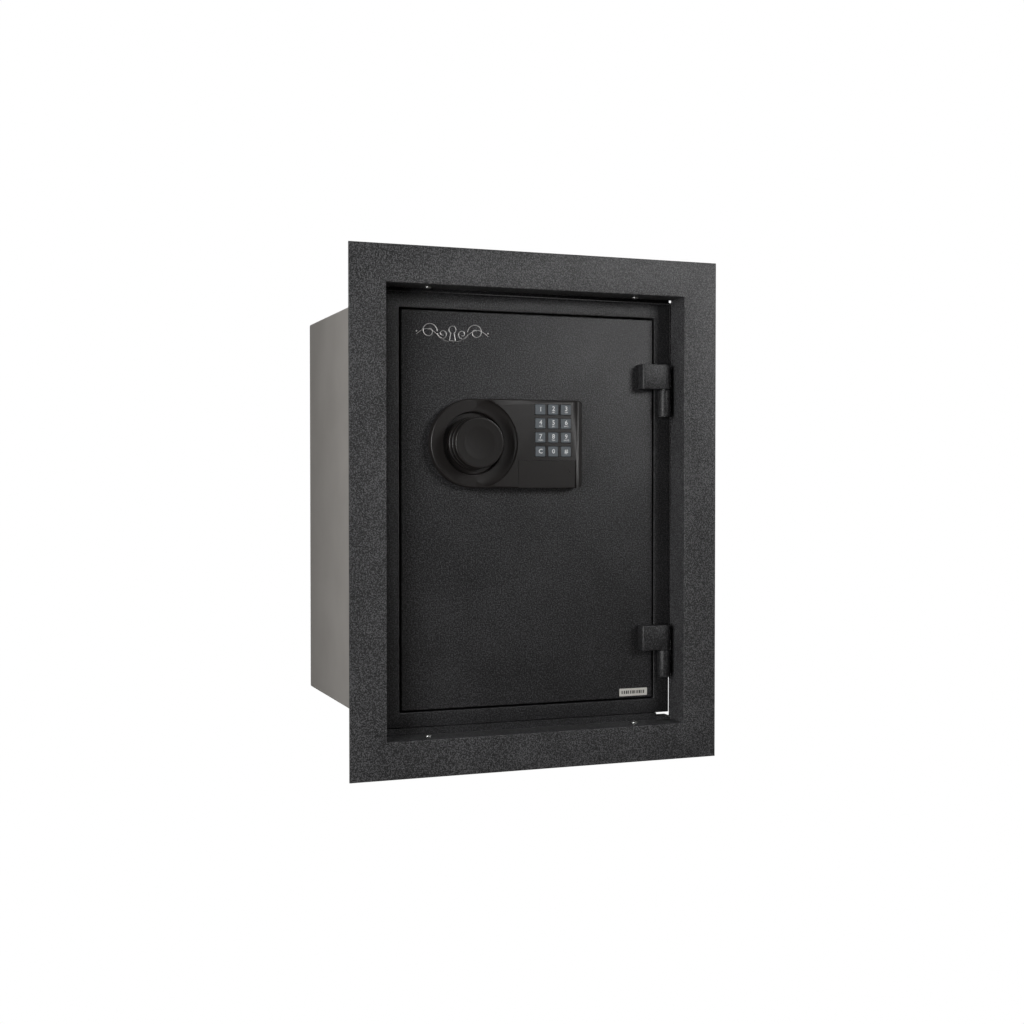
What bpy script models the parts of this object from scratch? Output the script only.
# Wall safe: a fire-resistant safe body behind a wide trim flange, with a hinged door,
# an electronic lock with a turning knob, and a bolt carriage inside the door.
#
# Metres, +Z up. The safe faces -Y. The origin is on the body's centre line, level with
# the middle of the flange's opening, in the plane of the flange's back face, which is
# the face of the wall it hangs in.

import math

import bmesh
import bpy
from mathutils import Matrix, Vector

# Trim flange
FLANGE_CENTRE_X = -0.001
FLANGE_FACE = 0.0381
FLANGE_SIDE_GAP = 0.0031
FLANGE_END_GAP = 0.0061
FLANGE_SHEET = 0.0025
RETURN_DEPTH = 0.0295
FLANGE_EDGE_RADIUS = 0.0009
FLANGE_SCREW_INSET = 0.0491
FLANGE_SCREW_Y = 0.0175
FLANGE_SCREW_RADIUS = 0.002
FLANGE_SCREW_LENGTH = 0.014
FLANGE_SCREW_HEAD_RADIUS = 0.0037
FLANGE_SCREW_HEAD_HEIGHT = 0.0019
FLANGE_SCREW_CROWN = 0.8
FLANGE_COLLAR_DEPTH = 0.014
FLANGE_COLLAR_FOOT_RISE = 0.0841
FLANGE_BAR_INSET = 0.0170
COLLAR_NOTCH = 0.005

# Safe body
BODY_WIDTH = 0.324
BODY_HEIGHT = 0.445
BODY_DEPTH = 0.330
BODY_CENTRE_Z = 0.0016
BODY_RECESS = 0.0295
SHELL_SHEET = 0.002
WALL_THICKNESS = 0.043
BACK_THICKNESS = 0.040
LINER_SHEET = 0.0015
FRAME_SHEET = 0.003
FRAME_LIP_DEPTH = 0.020
RIM_SIDE = 0.018
RIM_TOP = 0.0155
SHELF_HEIGHT = -0.004
SHELF_SHEET = 0.0015
SHELF_LIP = 0.012
SHELF_SETBACK = 0.012
SHELF_RAIL_SIZE = 0.009
SEAL_WIDTH = 0.006
SEAL_HEIGHT = 0.002

# Door
DOOR_GAP = 0.002
DOOR_PLATE = 0.005
DOOR_EDGE_RADIUS = 0.0012
DOOR_PAN_INSET = 0.014
DOOR_PAN_DEPTH = 0.060
DOOR_PAN_SHEET = 0.0015
DOOR_BOARD_THICKNESS = 0.022
DEAD_BAR_REACH = 0.0235
DEAD_BAR_THICKNESS = 0.006
DEAD_BAR_HEIGHT = 0.300

# Hinges
HINGE_AXIS_INSET = 0.0095
HINGE_RADIUS = 0.0066
HINGE_RIM_CLEARANCE = 0.0005
HINGE_LEAF_REACH = 0.0284
HINGE_BLOCK_HEIGHT = 0.0268
HINGE_BLOCK_CORNER = 0.0026
HINGE_BARREL_HEIGHT = 0.0295
HINGE_UPPER_DROP = 0.0488
HINGE_LOWER_RISE = 0.0522
HINGE_PIN_RADIUS = 0.003
HINGE_PIN_CLEARANCE = 0.0003
HINGE_PIN_ENGAGEMENT = 0.017
HINGE_WEB_WIDTH = 0.006
HINGE_WEB_INSET = 0.0015

# Lock housing and knob
LOCK_CENTRE_ABOVE_DOOR_CENTRE = 0.069
KNOB_FROM_DOOR_EDGE = 0.0746
LOCK_HALF_HEIGHT = 0.046
LOCK_LENGTH = 0.1668
LOCK_CORNER = 0.004
LOCK_THICKNESS = 0.0145
LOCK_LOW_THICKNESS = 0.0095
LOCK_WALL = 0.002
LOCK_RAMP = 0.022
LOCK_END_BEVEL = 0.0065
LOCK_END_BEVEL_DROP = 0.002
DISH_FLOOR_RADIUS = 0.0405
DISH_RIM_RADIUS = 0.0472
KNOB_WELL_GAP = 0.005
KNOB_WELL_FLOOR = 0.0045
KNOB_BASE_RADIUS = 0.0274
KNOB_FACE_RADIUS = 0.0262
KNOB_STEP = 0.0006
KNOB_REACH = 0.0300
KNOB_CLEARANCE = 0.0008
SPINDLE_RADIUS = 0.004
SPINDLE_SOCKET_DEPTH = 0.014
BUSHING_WALL = 0.003
BUSHING_LENGTH = 0.010

# Keys, their mat and board
KEY_COLUMNS = 3
KEY_ROWS = 4
KEY_PITCH_X = 0.01445
KEY_PITCH_Z = 0.0146
KEY_WIDTH = 0.0110
KEY_HEIGHT = 0.0106
KEY_PROUD = 0.001
KEY_FLANGE = 0.0008
KEY_FLANGE_THICKNESS = 0.0012
KEY_TRAVEL = 0.001
KEYPAD_CENTRE_FROM_KNOB = 0.0867
KEYPAD_CENTRE_ABOVE_KNOB = 0.0140
KEY_MAT_THICKNESS = 0.0012
BOARD_THICKNESS = 0.0016
BOARD_MARGIN = 0.004

# Battery compartment
COVER_WIDTH = 0.0645
COVER_HEIGHT = 0.0286
COVER_END_INSET = 0.0085
BATTERY_RADIUS = 0.0050
BATTERY_LENGTH = 0.0445
BATTERY_SPACING = 0.0112

# Bolt work
BOLT_RADIUS = 0.007
BOLT_THROW = 0.024
BOLT_SPACING = 0.130
BOLT_COUNT = 3
BOLT_LENGTH = 0.0377
BOLT_PROUD = 0.002
BOLT_HOLE_CLEARANCE = 0.0005
BOLT_BEHIND_LIP = 0.0035
CARRIAGE_BAR_THICKNESS = 0.004
CARRIAGE_BAR_DEPTH = 0.020
CARRIAGE_OVERHANG = 0.012
CARRIAGE_TONGUE_SHEET = 0.004
GUIDE_LENGTH = 0.008
GUIDE_WALL = 0.004
CAM_RADIUS = 0.014
CAM_THICKNESS = 0.006
CAM_CRANK = BOLT_THROW / (2 * math.sin(math.pi / 4))
CAM_PIN_RADIUS = 0.003
CAM_PIN_SLOT_CLEARANCE = 0.0012
CAM_NOTCH_WIDTH = 0.0078
CAM_NOTCH_DEPTH = 0.004
CAM_ARM_WIDTH = 0.012
CAM_ARM_CENTRE = 0.75
SOLENOID_SIZE = 0.022
SOLENOID_LENGTH = 0.026
PLUNGER_RADIUS = 0.003
PLUNGER_GAP = 0.0005
PLUNGER_TRAVEL = 0.004
PLUNGER_SHOWN = 0.009
PLUNGER_HELD = 0.013
CABLE_RADIUS = 0.0015
CABLE_HOLE_RADIUS = 0.004
CABLE_STEPS = 20
CABLE_PULL_IN = 1.6
CABLE_PULL_OUT = 0.5

# Printed and stuck-on pieces
EMBLEM_WIDTH = 0.0815
EMBLEM_HEIGHT = 0.0222
EMBLEM_FROM_DOOR_LEFT = 0.0143
EMBLEM_FROM_DOOR_TOP = 0.0112
EMBLEM_THICKNESS = 0.0005
LABEL_WIDTH = 0.033
LABEL_HEIGHT = 0.0082
LABEL_FROM_DOOR_RIGHT = 0.0064
LABEL_FROM_DOOR_BOTTOM = 0.0024
LABEL_THICKNESS = 0.0003

# Shared clearances and roundness
GAP = 0.0003
FINE_SIDES = 40
ROUND_SIDES = 24
CUT_SPARE = 0.010

# Sizes that follow from the ones above
KNOB_WELL_RADIUS = KNOB_BASE_RADIUS + KNOB_WELL_GAP
BODY_HALF_X = BODY_WIDTH / 2
BODY_HALF_Z = BODY_HEIGHT / 2
OPENING_HALF_X = BODY_HALF_X + FLANGE_SIDE_GAP
OPENING_HALF_Z = BODY_HALF_Z + FLANGE_END_GAP
FLANGE_HALF_X = OPENING_HALF_X + FLANGE_FACE
FLANGE_HALF_Z = OPENING_HALF_Z + FLANGE_FACE
FLANGE_SCREW_X = OPENING_HALF_X - FLANGE_SCREW_INSET
BODY_FRONT = BODY_RECESS
BODY_BACK = BODY_RECESS + BODY_DEPTH
FRAME_BACK = BODY_FRONT + FRAME_SHEET
FRAME_HALF_X = BODY_HALF_X - RIM_SIDE
FRAME_HALF_Z = BODY_HALF_Z - RIM_TOP
DOOR_HALF_X = FRAME_HALF_X - DOOR_GAP
DOOR_HALF_Z = FRAME_HALF_Z - DOOR_GAP
DOOR_BACK = BODY_FRONT + DOOR_PLATE
PAN_HALF_X = DOOR_HALF_X - DOOR_PAN_INSET
PAN_HALF_Z = DOOR_HALF_Z - DOOR_PAN_INSET
PAN_FRONT = DOOR_BACK + GAP
PAN_BACK = PAN_FRONT + DOOR_PAN_DEPTH
SEAL_BACK = PAN_BACK + GAP + SEAL_HEIGHT
LINER_FRONT = SEAL_BACK + GAP
LINER_HALF_X = BODY_HALF_X - WALL_THICKNESS
LINER_HALF_Z = BODY_HALF_Z - WALL_THICKNESS
LINER_BACK = BODY_BACK - BACK_THICKNESS
SHELL_INNER_X = BODY_HALF_X - SHELL_SHEET
SHELL_INNER_Z = BODY_HALF_Z - SHELL_SHEET
HINGE_X = BODY_HALF_X - HINGE_AXIS_INSET
HINGE_Y = BODY_FRONT - HINGE_RADIUS - HINGE_RIM_CLEARANCE
KNOB_X = -DOOR_HALF_X + KNOB_FROM_DOOR_EDGE
KNOB_Z = BODY_CENTRE_Z + LOCK_CENTRE_ABOVE_DOOR_CENTRE
LOCK_BACK = BODY_FRONT - GAP
LOCK_FRONT = BODY_FRONT - LOCK_THICKNESS
LOCK_LOW = BODY_FRONT - LOCK_LOW_THICKNESS
LOCK_RIGHT = KNOB_X - LOCK_HALF_HEIGHT + LOCK_LENGTH
WELL_FLOOR_Y = BODY_FRONT - KNOB_WELL_FLOOR
KNOB_FRONT_Y = BODY_FRONT - KNOB_REACH
KNOB_BACK_Y = WELL_FLOOR_Y - KNOB_CLEARANCE
KEYPAD_X = KNOB_X + KEYPAD_CENTRE_FROM_KNOB
KEYPAD_Z = KNOB_Z + KEYPAD_CENTRE_ABOVE_KNOB
COVER_RIGHT = LOCK_RIGHT - COVER_END_INSET
COVER_LEFT = COVER_RIGHT - COVER_WIDTH
COVER_BOTTOM = KNOB_Z - LOCK_HALF_HEIGHT
COVER_TOP = COVER_BOTTOM + COVER_HEIGHT
BOLT_Y = BODY_FRONT + FRAME_LIP_DEPTH + BOLT_BEHIND_LIP + BOLT_RADIUS
BOLT_TIP_X = -PAN_HALF_X - BOLT_PROUD
CARRIAGE_LEFT = BOLT_TIP_X + BOLT_LENGTH + GAP
CAM_BACK_Y = BOLT_Y - CARRIAGE_BAR_DEPTH / 2
CAM_FRONT_Y = CAM_BACK_Y - CAM_THICKNESS
TONGUE_Y = CAM_BACK_Y + GAP + CARRIAGE_TONGUE_SHEET / 2
DOOR_ORIGIN = Vector((HINGE_X, HINGE_Y, BODY_CENTRE_Z))
KNOB_ORIGIN = Vector((KNOB_X, LOCK_LOW, KNOB_Z))


# ---- scene helpers -------------------------------------------------------------------

def clear_scene():
    for thing in list(bpy.data.objects):
        bpy.data.objects.remove(thing, do_unlink=True)


def make_material(name, colour, roughness, metallic=0.0):
    material = bpy.data.materials.new(name)
    material.use_nodes = True
    shader = material.node_tree.nodes["Principled BSDF"]
    shader.inputs["Base Color"].default_value = (*colour, 1.0)
    shader.inputs["Roughness"].default_value = roughness
    shader.inputs["Metallic"].default_value = metallic
    return material


def make_materials():
    return {
        "charcoal_powder": make_material("charcoal_powder", (0.028, 0.028, 0.030), 0.55),
        "grey_primer": make_material("grey_primer", (0.230, 0.220, 0.212), 0.60),
        "inner_grey": make_material("inner_grey", (0.360, 0.355, 0.345), 0.60),
        "fire_board": make_material("fire_board", (0.620, 0.600, 0.560), 0.90),
        "black_plastic": make_material("black_plastic", (0.012, 0.012, 0.013), 0.38),
        "key_rubber": make_material("key_rubber", (0.130, 0.160, 0.190), 0.55),
        "zinc": make_material("zinc", (0.640, 0.640, 0.620), 0.35, 1.0),
        "bright_steel": make_material("bright_steel", (0.560, 0.560, 0.560), 0.30, 1.0),
        "bronze": make_material("bronze", (0.450, 0.290, 0.130), 0.40, 1.0),
        "seal_grey": make_material("seal_grey", (0.060, 0.060, 0.060), 0.85),
        "circuit_green": make_material("circuit_green", (0.020, 0.110, 0.045), 0.50),
        "battery_wrap": make_material("battery_wrap", (0.300, 0.180, 0.040), 0.40),
        "emblem_silver": make_material("emblem_silver", (0.720, 0.720, 0.710), 0.35, 0.6),
        "label_white": make_material("label_white", (0.760, 0.760, 0.740), 0.55),
    }


def make_body(name, place, parent=None):
    """An empty on a joint's axis, which everything that moves with the joint hangs from."""
    body = bpy.data.objects.new("body_" + name, None)
    body.empty_display_size = 0.02
    bpy.context.scene.collection.objects.link(body)
    body.parent = parent
    body.location = place - (world_place(parent) if parent else Vector())
    return body


def world_place(thing):
    place = Vector()
    while thing is not None:
        place = place + thing.location
        thing = thing.parent
    return place


def add_object(name, bm, material, body, centre):
    """Turns a bmesh that is built around centre into an object that hangs from body."""
    bmesh.ops.recalc_face_normals(bm, faces=bm.faces)
    mesh = bpy.data.meshes.new(name)
    bm.to_mesh(mesh)
    bm.free()
    thing = bpy.data.objects.new(name, mesh)
    bpy.context.scene.collection.objects.link(thing)
    thing.parent = body
    thing.location = Vector(centre) - world_place(body)
    if material is not None:
        mesh.materials.append(material)
    return thing


def shade_round(thing, sharp_angle=math.radians(35)):
    thing.data.shade_smooth()
    thing.data.set_sharp_from_angle(angle=sharp_angle)


def round_edges(thing, width, segments=2):
    bevel = thing.modifiers.new("edges", "BEVEL")
    bevel.width = width
    bevel.segments = segments
    bevel.limit_method = "ANGLE"
    bevel.angle_limit = math.radians(40)


def combine(thing, tool, operation="DIFFERENCE"):
    """Cuts a tool out of a piece, or joins it on, and keeps the tool as a guide."""
    tool.hide_render = True
    tool.display_type = "WIRE"
    change = thing.modifiers.new(tool.name, "BOOLEAN")
    change.operation = operation
    change.solver = "EXACT"
    change.object = tool


# ---- shape helpers: each returns a bmesh around its own centre ------------------------

def block(size_x, size_y, size_z):
    bm = bmesh.new()
    bmesh.ops.create_cube(bm, size=1.0)
    bmesh.ops.scale(bm, vec=(size_x, size_y, size_z), verts=bm.verts)
    return bm


def rod(radius, length, axis, sides=ROUND_SIDES):
    """A cylinder along X, Y or Z."""
    bm = bmesh.new()
    bmesh.ops.create_cone(bm, cap_ends=True, segments=sides,
                          radius1=radius, radius2=radius, depth=length)
    turn = {"X": Matrix.Rotation(math.pi / 2, 3, "Y"),
            "Y": Matrix.Rotation(math.pi / 2, 3, "X"),
            "Z": Matrix.Identity(3)}[axis]
    bmesh.ops.rotate(bm, cent=(0, 0, 0), matrix=turn, verts=bm.verts)
    return bm


def turned(profile, sides=FINE_SIDES):
    """A solid of revolution about Y from (radius, y) points that start and end on the axis."""
    bm = bmesh.new()
    points = [bm.verts.new((radius, y, 0)) for radius, y in profile]
    edges = [bm.edges.new(pair) for pair in zip(points, points[1:])]
    bmesh.ops.spin(bm, geom=points + edges, cent=(0, 0, 0), axis=(0, 1, 0),
                   angle=2 * math.pi, steps=sides, use_merge=True)
    bmesh.ops.remove_doubles(bm, verts=bm.verts, dist=1e-6)
    return bm


def lofted(loops, closed):
    """Rectangles (half x, half z, y) round Y, extruded one to the next, capped or closed."""
    bm = bmesh.new()
    corners = [bm.verts.new((side_x * loops[0][0], loops[0][2], side_z * loops[0][1]))
               for side_x, side_z in ((-1, -1), (1, -1), (1, 1), (-1, 1))]
    edges = [bm.edges.new((corners[i], corners[(i + 1) % 4])) for i in range(4)]
    start_edges = edges
    rest = loops[1:] + (loops[:1] if closed else [])
    for half_x, half_z, y in rest:
        grown = bmesh.ops.extrude_edge_only(bm, edges=edges)["geom"]
        edges = [item for item in grown if isinstance(item, bmesh.types.BMEdge)
                 and item.is_boundary]
        for vert in {vert for edge in edges for vert in edge.verts}:
            vert.co = (math.copysign(half_x, vert.co.x), y, math.copysign(half_z, vert.co.z))
    if closed:
        bmesh.ops.remove_doubles(bm, verts=bm.verts, dist=1e-7)
    else:
        bmesh.ops.contextual_create(bm, geom=start_edges)
        bmesh.ops.contextual_create(bm, geom=edges)
    return bm


def prism(outline, axis, low, high):
    """An outline of two-number points pushed along Y (from x, z) or along Z (from x, y)."""
    bm = bmesh.new()
    if axis == "Y":
        corners = [bm.verts.new((x, low, z)) for x, z in outline]
        push = (0, high - low, 0)
    else:
        corners = [bm.verts.new((x, y, low)) for x, y in outline]
        push = (0, 0, high - low)
    face = bm.faces.new(corners)
    grown = bmesh.ops.extrude_face_region(bm, geom=[face])
    moved = [item for item in grown["geom"] if isinstance(item, bmesh.types.BMVert)]
    bmesh.ops.translate(bm, vec=push, verts=moved)
    return bm


def arc(centre, radius, start, end, steps):
    """Points of an arc, by angles in degrees, both ends included."""
    points = []
    for i in range(steps + 1):
        angle = math.radians(start + (end - start) * i / steps)
        points.append((centre[0] + radius * math.cos(angle), centre[1] + radius * math.sin(angle)))
    return points


# ---- trim flange ----------------------------------------------------------------------

def make_trim_flange(paint, body):
    bm = lofted([
        (OPENING_HALF_X, OPENING_HALF_Z, -FLANGE_SHEET),
        (FLANGE_HALF_X, FLANGE_HALF_Z, -FLANGE_SHEET),
        (FLANGE_HALF_X, FLANGE_HALF_Z, 0),
        (OPENING_HALF_X + FLANGE_SHEET, OPENING_HALF_Z + FLANGE_SHEET, 0),
        (OPENING_HALF_X + FLANGE_SHEET, OPENING_HALF_Z + FLANGE_SHEET, RETURN_DEPTH),
        (OPENING_HALF_X, OPENING_HALF_Z, RETURN_DEPTH),
    ], closed=True)
    flange = add_object("trim_flange", bm, paint, body, (FLANGE_CENTRE_X, 0, 0))
    round_edges(flange, FLANGE_EDGE_RADIUS)
    for side_x in (-1, 1):
        for side_z in (-1, 1):
            drill = add_object(f"drill_flange_{side_x}_{side_z}",
                               rod(FLANGE_SCREW_RADIUS + GAP, CUT_SPARE, "Z"), None, body,
                               (FLANGE_CENTRE_X + side_x * FLANGE_SCREW_X, FLANGE_SCREW_Y,
                                side_z * OPENING_HALF_Z))
            combine(flange, drill)


def make_flange_screws(zinc, body):
    corners = [(-1, 1), (1, 1), (-1, -1), (1, -1)]
    for number, (side_x, side_z) in enumerate(corners, start=1):
        bm = turned([
            (0, 0),
            (FLANGE_SCREW_HEAD_RADIUS * FLANGE_SCREW_CROWN, 0),
            (FLANGE_SCREW_HEAD_RADIUS, FLANGE_SCREW_HEAD_HEIGHT / 2),
            (FLANGE_SCREW_HEAD_RADIUS, FLANGE_SCREW_HEAD_HEIGHT),
            (FLANGE_SCREW_RADIUS, FLANGE_SCREW_HEAD_HEIGHT),
            (FLANGE_SCREW_RADIUS, FLANGE_SCREW_LENGTH),
            (0, FLANGE_SCREW_LENGTH + FLANGE_SCREW_RADIUS),
        ], sides=ROUND_SIDES)
        turn = Matrix.Rotation(side_z * math.pi / 2, 3, "X")
        bmesh.ops.rotate(bm, cent=(0, 0, 0), matrix=turn, verts=bm.verts)
        head_z = side_z * (OPENING_HALF_Z - GAP - FLANGE_SCREW_HEAD_HEIGHT)
        screw = add_object(f"flange_screw_{number}", bm, zinc, body,
                           (FLANGE_CENTRE_X + side_x * FLANGE_SCREW_X, FLANGE_SCREW_Y, head_z))
        shade_round(screw)


def make_flange_collar(paint, body):
    """A band over the top and sides of the body, and a bar below it, that carry the flange."""
    front = RETURN_DEPTH + GAP
    back = front + FLANGE_COLLAR_DEPTH
    inner_x = BODY_HALF_X + GAP
    inner_z = BODY_CENTRE_Z + BODY_HALF_Z + GAP
    left = FLANGE_CENTRE_X - OPENING_HALF_X
    right = FLANGE_CENTRE_X + OPENING_HALF_X
    outer_z = OPENING_HALF_Z
    foot = FLANGE_COLLAR_FOOT_RISE - OPENING_HALF_Z
    outline = [(left, foot), (left, outer_z), (right, outer_z), (right, foot),
               (inner_x, foot), (inner_x, inner_z), (-inner_x, inner_z), (-inner_x, foot)]
    collar = add_object("flange_collar", prism(outline, "Y", front, back), paint, body, (0, 0, 0))
    for side, edge in (("left", left), ("right", right)):
        notch = add_object(f"cut_collar_{side}",
                           block(COLLAR_NOTCH, 3 * FLANGE_COLLAR_DEPTH, COLLAR_NOTCH), None, body,
                           (edge, front, outer_z))
        combine(collar, notch)
    under = BODY_CENTRE_Z - BODY_HALF_Z - GAP
    bm = block(2 * OPENING_HALF_X - FLANGE_BAR_INSET, back - front, under + outer_z)
    add_object("flange_bottom_bar", bm, paint, body,
               (FLANGE_CENTRE_X - FLANGE_BAR_INSET / 2, (front + back) / 2,
                (under - outer_z) / 2))


# ---- safe body --------------------------------------------------------------------------

def make_body_shell(paint, body):
    front = FRAME_BACK + GAP
    bm = lofted([
        (SHELL_INNER_X, SHELL_INNER_Z, BODY_BACK - SHELL_SHEET),
        (SHELL_INNER_X, SHELL_INNER_Z, front),
        (BODY_HALF_X, BODY_HALF_Z, front),
        (BODY_HALF_X, BODY_HALF_Z, BODY_BACK),
    ], closed=False)
    add_object("body_shell", bm, paint, body, (0, 0, BODY_CENTRE_Z))


def make_door_frame(paint, body):
    lip_back = BODY_FRONT + FRAME_LIP_DEPTH
    bm = lofted([
        (FRAME_HALF_X, FRAME_HALF_Z, BODY_FRONT),
        (BODY_HALF_X, BODY_HALF_Z, BODY_FRONT),
        (BODY_HALF_X, BODY_HALF_Z, FRAME_BACK),
        (FRAME_HALF_X + FRAME_SHEET, FRAME_HALF_Z + FRAME_SHEET, FRAME_BACK),
        (FRAME_HALF_X + FRAME_SHEET, FRAME_HALF_Z + FRAME_SHEET, lip_back),
        (FRAME_HALF_X, FRAME_HALF_Z, lip_back),
    ], closed=True)
    frame = add_object("door_frame", bm, paint, body, (0, 0, BODY_CENTRE_Z))
    round_edges(frame, DOOR_EDGE_RADIUS)


def make_liner(paint, body):
    outer_x = SHELL_INNER_X - GAP
    outer_z = SHELL_INNER_Z - GAP
    bm = lofted([
        (LINER_HALF_X, LINER_HALF_Z, LINER_BACK - LINER_SHEET),
        (LINER_HALF_X, LINER_HALF_Z, LINER_FRONT),
        (outer_x, outer_z, LINER_FRONT),
        (outer_x, outer_z, LINER_FRONT + LINER_SHEET),
        (LINER_HALF_X + LINER_SHEET, LINER_HALF_Z + LINER_SHEET, LINER_FRONT + LINER_SHEET),
        (LINER_HALF_X + LINER_SHEET, LINER_HALF_Z + LINER_SHEET, LINER_BACK),
    ], closed=False)
    add_object("interior_liner", bm, paint, body, (0, 0, BODY_CENTRE_Z))


def make_insulation(filling, body):
    inner_x = LINER_HALF_X + LINER_SHEET + GAP
    inner_z = LINER_HALF_Z + LINER_SHEET + GAP
    front = LINER_FRONT + LINER_SHEET + GAP
    bm = lofted([
        (inner_x, inner_z, LINER_BACK + GAP),
        (inner_x, inner_z, front),
        (SHELL_INNER_X - GAP, SHELL_INNER_Z - GAP, front),
        (SHELL_INNER_X - GAP, SHELL_INNER_Z - GAP, BODY_BACK - SHELL_SHEET - GAP),
    ], closed=False)
    add_object("body_insulation", bm, filling, body, (0, 0, BODY_CENTRE_Z))


def make_door_seal(rubber, body):
    outer_x = PAN_HALF_X - GAP
    outer_z = PAN_HALF_Z - GAP
    bm = lofted([
        (outer_x - SEAL_WIDTH, outer_z - SEAL_WIDTH, PAN_BACK + GAP),
        (outer_x, outer_z, PAN_BACK + GAP),
        (outer_x, outer_z, SEAL_BACK),
        (outer_x - SEAL_WIDTH, outer_z - SEAL_WIDTH, SEAL_BACK),
    ], closed=True)
    add_object("door_seal", bm, rubber, body, (0, 0, BODY_CENTRE_Z))


def make_shelf(paint, body):
    front = LINER_FRONT + SHELF_SETBACK
    back = LINER_BACK - LINER_SHEET - GAP
    top = BODY_CENTRE_Z + SHELF_HEIGHT
    half = LINER_HALF_X - GAP
    under = top - SHELF_SHEET
    outline = [(front, top), (back, top), (back, under), (front + SHELF_SHEET, under),
               (front + SHELF_SHEET, top - SHELF_LIP), (front, top - SHELF_LIP)]
    bm = bmesh.new()
    face = bm.faces.new([bm.verts.new((-half, y, z)) for y, z in outline])
    grown = bmesh.ops.extrude_face_region(bm, geom=[face])
    moved = [item for item in grown["geom"] if isinstance(item, bmesh.types.BMVert)]
    bmesh.ops.translate(bm, vec=(2 * half, 0, 0), verts=moved)
    add_object("shelf", bm, paint, body, (0, 0, 0))

    rail_front = front + SHELF_SHEET + GAP
    rail_z = under - GAP - SHELF_RAIL_SIZE / 2
    for name, side in (("left", -1), ("right", 1)):
        rail = block(SHELF_RAIL_SIZE, back - rail_front, SHELF_RAIL_SIZE)
        rail_x = side * (LINER_HALF_X - GAP - SHELF_RAIL_SIZE / 2)
        add_object(f"shelf_rail_{name}", rail, paint, body,
                   (rail_x, (rail_front + back) / 2, rail_z))


# ---- hinges -----------------------------------------------------------------------------

def hinge_bottoms():
    """The bottom of each door-side block, by name."""
    door_top = BODY_CENTRE_Z + DOOR_HALF_Z
    door_bottom = BODY_CENTRE_Z - DOOR_HALF_Z
    return {"upper": door_top - HINGE_UPPER_DROP - HINGE_BLOCK_HEIGHT,
            "lower": door_bottom + HINGE_LOWER_RISE}


def make_hinge_barrels(paint, steel, body):
    bore = HINGE_PIN_RADIUS + HINGE_PIN_CLEARANCE
    for name, block_bottom in hinge_bottoms().items():
        top = block_bottom - HINGE_RIM_CLEARANCE
        barrel = add_object(f"hinge_barrel_{name}",
                            rod(HINGE_RADIUS, HINGE_BARREL_HEIGHT, "Z"), paint, body,
                            (HINGE_X, HINGE_Y, top - HINGE_BARREL_HEIGHT / 2))
        shade_round(barrel)
        web_depth = BODY_FRONT - GAP - HINGE_Y
        web = add_object(f"web_{name}",
                         block(HINGE_WEB_WIDTH, web_depth, HINGE_BARREL_HEIGHT - 2 * HINGE_WEB_INSET),
                         None, body,
                         (HINGE_X, HINGE_Y + web_depth / 2, top - HINGE_BARREL_HEIGHT / 2))
        combine(barrel, web, "UNION")
        drill = add_object(f"drill_barrel_{name}",
                           rod(bore, 2 * (HINGE_PIN_ENGAGEMENT + GAP), "Z"), None, body,
                           (HINGE_X, HINGE_Y, top))
        combine(barrel, drill)
        pin = add_object(f"hinge_pin_{name}",
                         rod(HINGE_PIN_RADIUS, 2 * HINGE_PIN_ENGAGEMENT, "Z"), steel, body,
                         (HINGE_X, HINGE_Y, top))
        shade_round(pin)


def make_hinge_blocks(paint, body):
    """Door-side blocks: a welded leaf that ends in a knuckle round the pin."""
    left = HINGE_X - HINGE_LEAF_REACH
    front = HINGE_Y - HINGE_RADIUS
    rear = HINGE_Y + HINGE_RADIUS
    seat = BODY_FRONT - GAP
    corner = HINGE_BLOCK_CORNER
    bore = HINGE_PIN_RADIUS + HINGE_PIN_CLEARANCE
    outline = [(left, seat), (DOOR_HALF_X - GAP, seat), (DOOR_HALF_X - GAP, rear)]
    outline += list(reversed(arc((HINGE_X, HINGE_Y), HINGE_RADIUS, -90, 90, 12)))
    outline += arc((left + corner, front + corner), corner, 270, 180, 4)
    for name, bottom in hinge_bottoms().items():
        bm = prism(outline, "Z", bottom, bottom + HINGE_BLOCK_HEIGHT)
        knuckle = add_object(f"hinge_block_{name}", bm, paint, body, (0, 0, 0))
        shade_round(knuckle)
        drill = add_object(f"drill_block_{name}",
                           rod(bore, 2 * (HINGE_PIN_ENGAGEMENT + GAP), "Z"), None, body,
                           (HINGE_X, HINGE_Y, bottom))
        combine(knuckle, drill)


# ---- door -------------------------------------------------------------------------------

def bolt_heights():
    middle = (BOLT_COUNT - 1) / 2
    return [BODY_CENTRE_Z + (i - middle) * BOLT_SPACING for i in range(BOLT_COUNT)]


def cable_hole_place():
    return KEYPAD_X - KEY_PITCH_X, KEYPAD_Z - KEY_PITCH_Z


def make_door_plate(paint, body):
    centre_y = (BODY_FRONT + DOOR_BACK) / 2
    plate = add_object("door_plate", block(2 * DOOR_HALF_X, DOOR_PLATE, 2 * DOOR_HALF_Z),
                       paint, body, (0, centre_y, BODY_CENTRE_Z))
    round_edges(plate, DOOR_EDGE_RADIUS)
    bush_hole = SPINDLE_RADIUS + GAP + BUSHING_WALL + GAP
    drill = add_object("drill_bushing", rod(bush_hole, DOOR_PLATE + CUT_SPARE, "Y"), None, body,
                       (KNOB_X, centre_y, KNOB_Z))
    combine(plate, drill)
    cable_x, cable_z = cable_hole_place()
    cable = add_object("drill_cable", rod(CABLE_HOLE_RADIUS, DOOR_PLATE + CUT_SPARE, "Y"), None,
                       body, (cable_x, centre_y, cable_z))
    combine(plate, cable)


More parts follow.
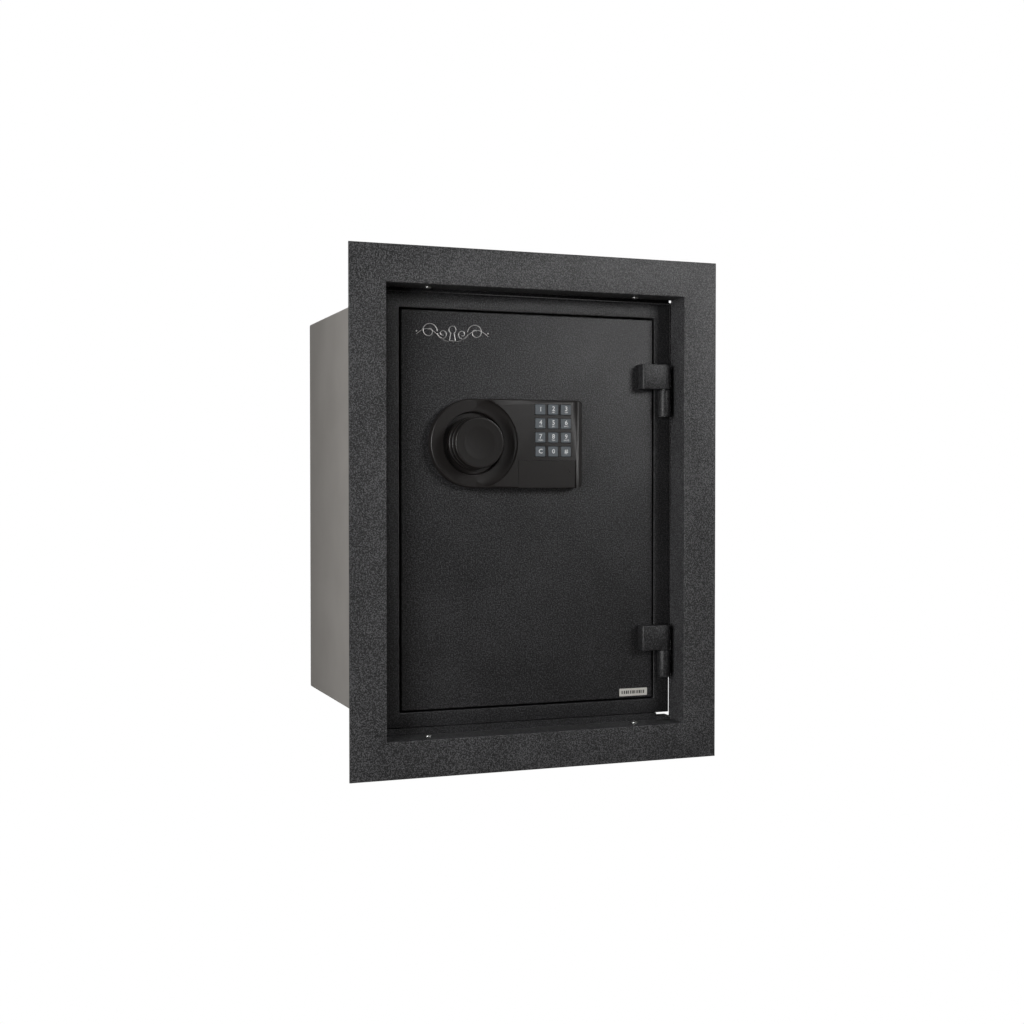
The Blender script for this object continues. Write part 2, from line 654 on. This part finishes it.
def make_door_pan(paint, body):
    inner_x = PAN_HALF_X - DOOR_PAN_SHEET
    inner_z = PAN_HALF_Z - DOOR_PAN_SHEET
    bm = lofted([
        (inner_x, inner_z, PAN_BACK - DOOR_PAN_SHEET),
        (inner_x, inner_z, PAN_FRONT),
        (PAN_HALF_X, PAN_HALF_Z, PAN_FRONT),
        (PAN_HALF_X, PAN_HALF_Z, PAN_BACK),
    ], closed=False)
    pan = add_object("door_pan", bm, paint, body, (0, 0, BODY_CENTRE_Z))
    for number, height in enumerate(bolt_heights(), start=1):
        drill = add_object(f"drill_pan_{number}",
                           rod(BOLT_RADIUS + BOLT_HOLE_CLEARANCE, CUT_SPARE, "X"), None, body,
                           (-PAN_HALF_X, BOLT_Y, height))
        combine(pan, drill)


def make_door_insulation(filling, body):
    inner_x = PAN_HALF_X - DOOR_PAN_SHEET - GAP
    inner_z = PAN_HALF_Z - DOOR_PAN_SHEET - GAP
    back = PAN_BACK - DOOR_PAN_SHEET - GAP
    bm = block(2 * inner_x, DOOR_BOARD_THICKNESS, 2 * inner_z)
    add_object("door_insulation", bm, filling, body,
               (0, back - DOOR_BOARD_THICKNESS / 2, BODY_CENTRE_Z))


def make_dead_bar(steel, body):
    """A fixed bar that stays behind the frame on the hinge side while the door is shut."""
    bm = block(DEAD_BAR_REACH, DEAD_BAR_THICKNESS, DEAD_BAR_HEIGHT)
    add_object("hinge_side_dead_bar", bm, steel, body,
               (PAN_HALF_X + GAP + DEAD_BAR_REACH / 2, BOLT_Y, BODY_CENTRE_Z))


def make_emblem(silver, body):
    left = -DOOR_HALF_X + EMBLEM_FROM_DOOR_LEFT
    top = BODY_CENTRE_Z + DOOR_HALF_Z - EMBLEM_FROM_DOOR_TOP
    bm = block(EMBLEM_WIDTH, EMBLEM_THICKNESS, EMBLEM_HEIGHT)
    add_object("door_emblem", bm, silver, body,
               (left + EMBLEM_WIDTH / 2, BODY_FRONT - GAP - EMBLEM_THICKNESS / 2,
                top - EMBLEM_HEIGHT / 2))


def make_label(white, body):
    right = DOOR_HALF_X - LABEL_FROM_DOOR_RIGHT
    bottom = BODY_CENTRE_Z - DOOR_HALF_Z + LABEL_FROM_DOOR_BOTTOM
    bm = block(LABEL_WIDTH, LABEL_THICKNESS, LABEL_HEIGHT)
    add_object("door_label", bm, white, body,
               (right - LABEL_WIDTH / 2, BODY_FRONT - GAP - LABEL_THICKNESS / 2,
                bottom + LABEL_HEIGHT / 2))


# ---- lock housing, knob and battery compartment -----------------------------------------

def lock_outline():
    """The housing's outline in x and z: a round left end and small corners on the right."""
    half = LOCK_HALF_HEIGHT
    right = LOCK_RIGHT
    corner = LOCK_CORNER
    points = arc((KNOB_X, KNOB_Z), half, 90, 270, 24)
    points += arc((right - corner, KNOB_Z - half + corner), corner, 270, 360, 4)
    points += arc((right - corner, KNOB_Z + half - corner), corner, 0, 90, 4)
    return points


def front_relief():
    """Cuts the front of the lock: low over the knob, a ramp up, and a falling right end."""
    high = LOCK_FRONT
    low = LOCK_LOW
    far_left = KNOB_X - LOCK_HALF_HEIGHT - CUT_SPARE
    far_right = LOCK_RIGHT + CUT_SPARE
    drop = LOCK_END_BEVEL_DROP * (LOCK_END_BEVEL + CUT_SPARE) / LOCK_END_BEVEL
    return [(far_left, LOCK_FRONT - CUT_SPARE), (far_left, low), (KNOB_X, low),
            (KNOB_X + LOCK_RAMP, high), (LOCK_RIGHT - LOCK_END_BEVEL, high),
            (far_right, high + drop), (far_right, LOCK_FRONT - CUT_SPARE)]


def bowl_profile():
    """The spindle hole, the knob's well and the dish round it, as (radius, y) points."""
    slope = (DISH_RIM_RADIUS - DISH_FLOOR_RADIUS) / (LOCK_THICKNESS - LOCK_LOW_THICKNESS - GAP)
    spare = CUT_SPARE / 2
    floor = LOCK_LOW - GAP
    hole = SPINDLE_RADIUS + GAP
    return [(0, LOCK_BACK + spare), (hole, LOCK_BACK + spare), (hole, WELL_FLOOR_Y),
            (KNOB_WELL_RADIUS, WELL_FLOOR_Y), (KNOB_WELL_RADIUS, floor),
            (DISH_FLOOR_RADIUS, floor), (DISH_RIM_RADIUS + slope * spare, LOCK_FRONT - spare),
            (0, LOCK_FRONT - spare)]


def key_places():
    """Each key's name, x and z, row by row from the top left."""
    names = ["1", "2", "3", "4", "5", "6", "7", "8", "9", "clear", "0", "enter"]
    places = []
    for number, name in enumerate(names):
        row, column = divmod(number, KEY_COLUMNS)
        x = KEYPAD_X + (column - (KEY_COLUMNS - 1) / 2) * KEY_PITCH_X
        z = KEYPAD_Z + ((KEY_ROWS - 1) / 2 - row) * KEY_PITCH_Z
        places.append((name, x, z))
    return places


def make_lock_housing(plastic, body):
    housing = add_object("lock_housing", prism(lock_outline(), "Y", LOCK_FRONT, LOCK_BACK),
                         plastic, body, (0, 0, 0))
    shade_round(housing)
    z_low = KNOB_Z - LOCK_HALF_HEIGHT - CUT_SPARE
    z_high = KNOB_Z + LOCK_HALF_HEIGHT + CUT_SPARE
    combine(housing, add_object("cut_front", prism(front_relief(), "Z", z_low, z_high),
                                None, body, (0, 0, 0)))
    bowl = add_object("cut_bowl", turned(bowl_profile()), None, body, (KNOB_X, 0, KNOB_Z))
    combine(housing, bowl)
    hollow = add_object("cut_hollow", hollow_solid(), None, body, (0, 0, 0))
    combine(housing, hollow)
    for name, x, z in key_places():
        window = add_object(f"cut_key_{name}",
                            block(KEY_WIDTH + 2 * GAP, LOCK_THICKNESS, KEY_HEIGHT + 2 * GAP),
                            None, body, (x, LOCK_FRONT, z))
        combine(housing, window)
    door = add_object("cut_cover",
                      block(COVER_WIDTH + 2 * GAP, LOCK_WALL + CUT_SPARE + GAP,
                            COVER_HEIGHT + GAP + CUT_SPARE),
                      None, body,
                      ((COVER_LEFT + COVER_RIGHT) / 2,
                       LOCK_FRONT + LOCK_WALL + GAP - (LOCK_WALL + CUT_SPARE + GAP) / 2,
                       (COVER_TOP + GAP + COVER_BOTTOM - CUT_SPARE) / 2))
    combine(housing, door)


def hollow_solid():
    """The room inside the housing, right of the knob's well, open towards the door."""
    left = KNOB_X + KNOB_WELL_RADIUS + 2 * LOCK_WALL
    right = LOCK_RIGHT - LOCK_WALL
    half = LOCK_HALF_HEIGHT - LOCK_WALL
    deep = LOCK_FRONT + LOCK_WALL
    shallow = LOCK_LOW + LOCK_WALL
    step = KNOB_X + DISH_RIM_RADIUS + LOCK_WALL
    outline = [(left, LOCK_BACK + CUT_SPARE), (left, shallow), (step, shallow), (step, deep),
               (right - LOCK_END_BEVEL, deep), (right, deep + LOCK_END_BEVEL_DROP),
               (right, LOCK_BACK + CUT_SPARE)]
    return prism(outline, "Z", KNOB_Z - half, KNOB_Z + half)


def make_battery_cover(plastic, body):
    """A flat cover that slides down off the housing's lower right corner."""
    bm = block(COVER_WIDTH, LOCK_WALL, COVER_HEIGHT)
    cover = add_object("battery_cover", bm, plastic, body,
                       ((COVER_LEFT + COVER_RIGHT) / 2, LOCK_FRONT + LOCK_WALL / 2,
                        (COVER_BOTTOM + COVER_TOP) / 2))
    round_edges(cover, GAP, 1)


def make_batteries(wrap, body):
    length_centre = (COVER_LEFT + COVER_RIGHT) / 2
    middle = (COVER_BOTTOM + LOCK_WALL + COVER_TOP) / 2
    depth = (LOCK_FRONT + LOCK_WALL + BODY_FRONT) / 2
    for number, side in enumerate((1, -1), start=1):
        cell = add_object(f"battery_{number}", rod(BATTERY_RADIUS, BATTERY_LENGTH, "X"), wrap,
                          body, (length_centre, depth, middle + side * BATTERY_SPACING / 2))
        shade_round(cell)


def make_knob(plastic, body):
    """A stepped grip, hollow at the back for the spindle."""
    front = KNOB_FRONT_Y - KNOB_ORIGIN.y
    back = KNOB_BACK_Y - KNOB_ORIGIN.y
    third = (back - front) / 3
    socket = SPINDLE_RADIUS + GAP
    middle_radius = (KNOB_BASE_RADIUS + KNOB_FACE_RADIUS) / 2
    bm = turned([
        (0, front + KNOB_STEP),
        (KNOB_FACE_RADIUS - 5 * KNOB_STEP, front + KNOB_STEP),
        (KNOB_FACE_RADIUS - 3 * KNOB_STEP, front),
        (KNOB_FACE_RADIUS - KNOB_STEP, front),
        (KNOB_FACE_RADIUS, front + 2 * KNOB_STEP),
        (KNOB_FACE_RADIUS, front + third),
        (middle_radius, front + third + KNOB_STEP),
        (middle_radius, front + 2 * third),
        (KNOB_BASE_RADIUS, front + 2 * third + KNOB_STEP),
        (KNOB_BASE_RADIUS, back),
        (socket, back),
        (socket, back - SPINDLE_SOCKET_DEPTH),
        (0, back - SPINDLE_SOCKET_DEPTH),
    ])
    knob = add_object("knob", bm, plastic, body, KNOB_ORIGIN)
    shade_round(knob)


def make_spindle(steel, body):
    front = KNOB_BACK_Y - SPINDLE_SOCKET_DEPTH + GAP
    length = CAM_BACK_Y - front
    spindle = add_object("spindle", rod(SPINDLE_RADIUS, length, "Y"), steel, body,
                         (KNOB_X, front + length / 2, KNOB_Z))
    shade_round(spindle)


def make_bushing(bronze, body):
    """A plain bearing for the spindle, in the door plate."""
    inner = SPINDLE_RADIUS + GAP
    outer = inner + BUSHING_WALL
    front = BODY_FRONT
    back = front + BUSHING_LENGTH
    bm = bmesh.new()
    profile = [(inner, front), (outer, front), (outer, back), (inner, back)]
    points = [bm.verts.new((radius, y, 0)) for radius, y in profile]
    edges = [bm.edges.new((points[i], points[(i + 1) % 4])) for i in range(4)]
    bmesh.ops.spin(bm, geom=points + edges, cent=(0, 0, 0), axis=(0, 1, 0),
                   angle=2 * math.pi, steps=ROUND_SIDES, use_merge=True)
    bushing = add_object("spindle_bushing", bm, bronze, body, (KNOB_X, 0, KNOB_Z))
    shade_round(bushing)


# ---- keys -------------------------------------------------------------------------------

def make_keys(rubber, door):
    """Each key is a cap with a rim behind it, so that it can't fall out of its window."""
    front = LOCK_FRONT - KEY_PROUD
    rim_front = LOCK_FRONT + LOCK_WALL + GAP
    half_x = KEY_WIDTH / 2
    half_z = KEY_HEIGHT / 2
    for name, x, z in key_places():
        bm = lofted([
            (half_x, half_z, 0),
            (half_x, half_z, rim_front - front),
            (half_x + KEY_FLANGE, half_z + KEY_FLANGE, rim_front - front),
            (half_x + KEY_FLANGE, half_z + KEY_FLANGE, rim_front - front + KEY_FLANGE_THICKNESS),
        ], closed=False)
        joint = make_body(f"key_{name}", Vector((x, front, z)), door)
        add_object(f"key_{name}", bm, rubber, joint, (x, front, z))


def make_key_mat(rubber, body):
    front = LOCK_FRONT + LOCK_WALL + 2 * GAP + KEY_FLANGE_THICKNESS + KEY_TRAVEL
    width = KEY_COLUMNS * KEY_PITCH_X
    height = KEY_ROWS * KEY_PITCH_Z
    add_object("key_mat", block(width, KEY_MAT_THICKNESS, height), rubber, body,
               (KEYPAD_X, front + KEY_MAT_THICKNESS / 2, KEYPAD_Z))
    return front + KEY_MAT_THICKNESS


def make_board(green, body, front):
    width = KEY_COLUMNS * KEY_PITCH_X + BOARD_MARGIN
    height = KEY_ROWS * KEY_PITCH_Z
    add_object("keypad_board", block(width, BOARD_THICKNESS, height), green, body,
               (KEYPAD_X, front + GAP + BOARD_THICKNESS / 2, KEYPAD_Z))
    return front + GAP + BOARD_THICKNESS


# ---- bolt work --------------------------------------------------------------------------

def make_bolts(steel, body):
    for number, height in enumerate(bolt_heights(), start=1):
        bolt = add_object(f"locking_bolt_{number}", rod(BOLT_RADIUS, BOLT_LENGTH, "X"), steel,
                          body, (BOLT_TIP_X + BOLT_LENGTH / 2, BOLT_Y, height))
        shade_round(bolt)


def make_carriage(steel, body):
    """A bar that carries the bolts, with a slotted tongue that the cam's pin drives."""
    heights = bolt_heights()
    low = heights[0] - CARRIAGE_OVERHANG
    high = heights[-1] + CARRIAGE_OVERHANG
    bar = add_object("bolt_carriage",
                     block(CARRIAGE_BAR_THICKNESS, CARRIAGE_BAR_DEPTH, high - low), steel, body,
                     (CARRIAGE_LEFT + CARRIAGE_BAR_THICKNESS / 2, BOLT_Y, (low + high) / 2))
    pin_x = KNOB_X + CAM_CRANK * math.sin(math.pi / 4)
    slot_half_x = CAM_PIN_RADIUS + CAM_PIN_SLOT_CLEARANCE
    slot_low = KNOB_Z + CAM_CRANK * math.cos(math.pi / 4) - slot_half_x
    slot_high = KNOB_Z + CAM_CRANK + slot_half_x
    frame = CARRIAGE_TONGUE_SHEET
    tongue_left = CARRIAGE_LEFT + CARRIAGE_BAR_THICKNESS / 2
    tongue_right = pin_x + slot_half_x + frame
    tongue = add_object("tongue",
                        block(tongue_right - tongue_left, CARRIAGE_TONGUE_SHEET,
                              slot_high - slot_low + 2 * frame),
                        None, body,
                        ((tongue_left + tongue_right) / 2, TONGUE_Y, (slot_low + slot_high) / 2))
    combine(bar, tongue, "UNION")
    slot = add_object("cut_slot",
                      block(2 * slot_half_x, CARRIAGE_TONGUE_SHEET + CUT_SPARE,
                            slot_high - slot_low),
                      None, body, (pin_x, TONGUE_Y, (slot_low + slot_high) / 2))
    combine(bar, slot)


def make_guides(steel, body):
    outer = BOLT_RADIUS + GUIDE_WALL
    centre_x = -PAN_HALF_X + DOOR_PAN_SHEET + GAP + GUIDE_LENGTH / 2
    for number, height in enumerate(bolt_heights(), start=1):
        guide = add_object(f"bolt_guide_{number}",
                           block(GUIDE_LENGTH, 2 * outer - GUIDE_WALL, 2 * outer), steel, body,
                           (centre_x, BOLT_Y, height))
        drill = add_object(f"drill_guide_{number}",
                           rod(BOLT_RADIUS + GAP, GUIDE_LENGTH + CUT_SPARE, "X"), None, body,
                           (centre_x, BOLT_Y, height))
        combine(guide, drill)


def make_cam(steel, body):
    """A notched disc on the spindle, with a pin that reaches into the carriage's slot."""
    centre_y = (CAM_FRONT_Y + CAM_BACK_Y) / 2
    cam = add_object("bolt_cam", rod(CAM_RADIUS, CAM_THICKNESS, "Y", FINE_SIDES), steel, body,
                     (KNOB_X, centre_y, KNOB_Z))
    shade_round(cam)
    reach = CAM_CRANK * math.sin(math.pi / 4)
    bm = block(CAM_CRANK, CAM_THICKNESS, CAM_ARM_WIDTH)
    bmesh.ops.rotate(bm, cent=(0, 0, 0), matrix=Matrix.Rotation(-math.pi / 4, 3, "Y"),
                     verts=bm.verts)
    arm = add_object("cam_arm", bm, None, body,
                     (KNOB_X + reach * CAM_ARM_CENTRE, centre_y,
                      KNOB_Z + reach * CAM_ARM_CENTRE))
    combine(cam, arm, "UNION")
    pin_length = CAM_THICKNESS + CARRIAGE_TONGUE_SHEET + GAP
    pin = add_object("cam_pin", rod(CAM_PIN_RADIUS, pin_length, "Y"), None, body,
                     (KNOB_X + reach, centre_y + (pin_length - CAM_THICKNESS) / 2,
                      KNOB_Z + reach))
    combine(cam, pin, "UNION")
    bore = add_object("cut_cam_bore", rod(SPINDLE_RADIUS + GAP, CAM_THICKNESS + CUT_SPARE, "Y"),
                      None, body, (KNOB_X, centre_y, KNOB_Z))
    combine(cam, bore)
    notch = add_object("cut_cam_notch",
                       block(2 * CAM_NOTCH_DEPTH, CAM_THICKNESS + CUT_SPARE, CAM_NOTCH_WIDTH),
                       None, body, (KNOB_X - CAM_RADIUS, centre_y, KNOB_Z))
    combine(cam, notch)


def make_solenoid(steel, body):
    centre_y = (CAM_FRONT_Y + CAM_BACK_Y) / 2
    tip = KNOB_Z - CAM_RADIUS - PLUNGER_GAP
    top = tip - PLUNGER_SHOWN
    solenoid = add_object("solenoid", block(SOLENOID_SIZE, SOLENOID_SIZE, SOLENOID_LENGTH), steel,
                          body, (KNOB_X, centre_y + GAP, top - SOLENOID_LENGTH / 2))
    well = PLUNGER_HELD + PLUNGER_TRAVEL + GAP
    drill = add_object("drill_solenoid", rod(PLUNGER_RADIUS + GAP, 2 * well, "Z"), None, body,
                       (KNOB_X, centre_y, top))
    combine(solenoid, drill)


def make_plunger(steel, body):
    centre_y = (CAM_FRONT_Y + CAM_BACK_Y) / 2
    tip = KNOB_Z - CAM_RADIUS - PLUNGER_GAP
    length = PLUNGER_SHOWN + PLUNGER_HELD
    plunger = add_object("solenoid_plunger", rod(PLUNGER_RADIUS, length, "Z"), steel, body,
                         (KNOB_X, centre_y, tip - length / 2))
    shade_round(plunger)


def make_cable(rubber, body, board_back):
    """The lead from the keypad board, through the door plate, to the solenoid's side."""
    cable_x, cable_z = cable_hole_place()
    solenoid_z = KNOB_Z - CAM_RADIUS - PLUNGER_GAP - PLUNGER_SHOWN - SOLENOID_LENGTH / 2
    solenoid_x = KNOB_X + SOLENOID_SIZE / 2 + GAP
    centre_y = (CAM_FRONT_Y + CAM_BACK_Y) / 2
    start = Vector((cable_x, board_back + GAP, cable_z))
    end = Vector((solenoid_x, centre_y, solenoid_z))
    pull_start = Vector((0, CABLE_PULL_IN * (centre_y - board_back), 0))
    pull_end = Vector((CABLE_PULL_OUT * (cable_x - solenoid_x), 0, 0))
    curve = bpy.data.curves.new("lock_cable", "CURVE")
    curve.dimensions = "3D"
    curve.bevel_depth = CABLE_RADIUS
    curve.bevel_resolution = 2
    curve.use_fill_caps = True
    spline = curve.splines.new("POLY")
    spline.points.add(CABLE_STEPS)
    for i in range(CABLE_STEPS + 1):
        t = i / CABLE_STEPS
        s = 1 - t
        point = (start * s ** 3 + (start + pull_start) * 3 * s * s * t
                 + (end + pull_end) * 3 * s * t * t + end * t ** 3)
        spline.points[i].co = (*point, 1)
    curve.materials.append(rubber)
    cable = bpy.data.objects.new("lock_cable", curve)
    bpy.context.scene.collection.objects.link(cable)
    cable.parent = body
    cable.location = -world_place(body)


# ---- the whole safe ---------------------------------------------------------------------

def main():
    clear_scene()
    finish = make_materials()
    root = make_body("root", Vector((0, 0, 0)))
    door = make_body("door", DOOR_ORIGIN, root)
    knob = make_body("knob", KNOB_ORIGIN, door)
    carriage = make_body("bolt_carriage", Vector((BOLT_TIP_X, BOLT_Y, KNOB_Z)), door)
    plunger = make_body("plunger", Vector((KNOB_X, CAM_FRONT_Y, KNOB_Z - CAM_RADIUS)), door)
    cover = make_body("battery_cover", Vector((COVER_LEFT, LOCK_FRONT, COVER_BOTTOM)), door)

    make_trim_flange(finish["charcoal_powder"], root)
    make_flange_screws(finish["zinc"], root)
    make_flange_collar(finish["charcoal_powder"], root)
    make_body_shell(finish["grey_primer"], root)
    make_door_frame(finish["charcoal_powder"], root)
    make_liner(finish["inner_grey"], root)
    make_insulation(finish["fire_board"], root)
    make_door_seal(finish["seal_grey"], root)
    make_shelf(finish["inner_grey"], root)
    make_hinge_barrels(finish["charcoal_powder"], finish["bright_steel"], root)

    make_hinge_blocks(finish["charcoal_powder"], door)
    make_door_plate(finish["charcoal_powder"], door)
    make_door_pan(finish["inner_grey"], door)
    make_door_insulation(finish["fire_board"], door)
    make_dead_bar(finish["bright_steel"], door)
    make_emblem(finish["emblem_silver"], door)
    make_label(finish["label_white"], door)

    make_lock_housing(finish["black_plastic"], door)
    make_batteries(finish["battery_wrap"], door)
    make_bushing(finish["bronze"], door)
    mat_back = make_key_mat(finish["seal_grey"], door)
    board_back = make_board(finish["circuit_green"], door, mat_back)
    make_guides(finish["bright_steel"], door)
    make_solenoid(finish["zinc"], door)
    make_cable(finish["seal_grey"], door, board_back)

    make_knob(finish["black_plastic"], knob)
    make_spindle(finish["bright_steel"], knob)
    make_cam(finish["bright_steel"], knob)
    make_carriage(finish["zinc"], carriage)
    make_bolts(finish["bright_steel"], carriage)
    make_plunger(finish["bright_steel"], plunger)
    make_battery_cover(finish["black_plastic"], cover)
    make_keys(finish["key_rubber"], door)


main()
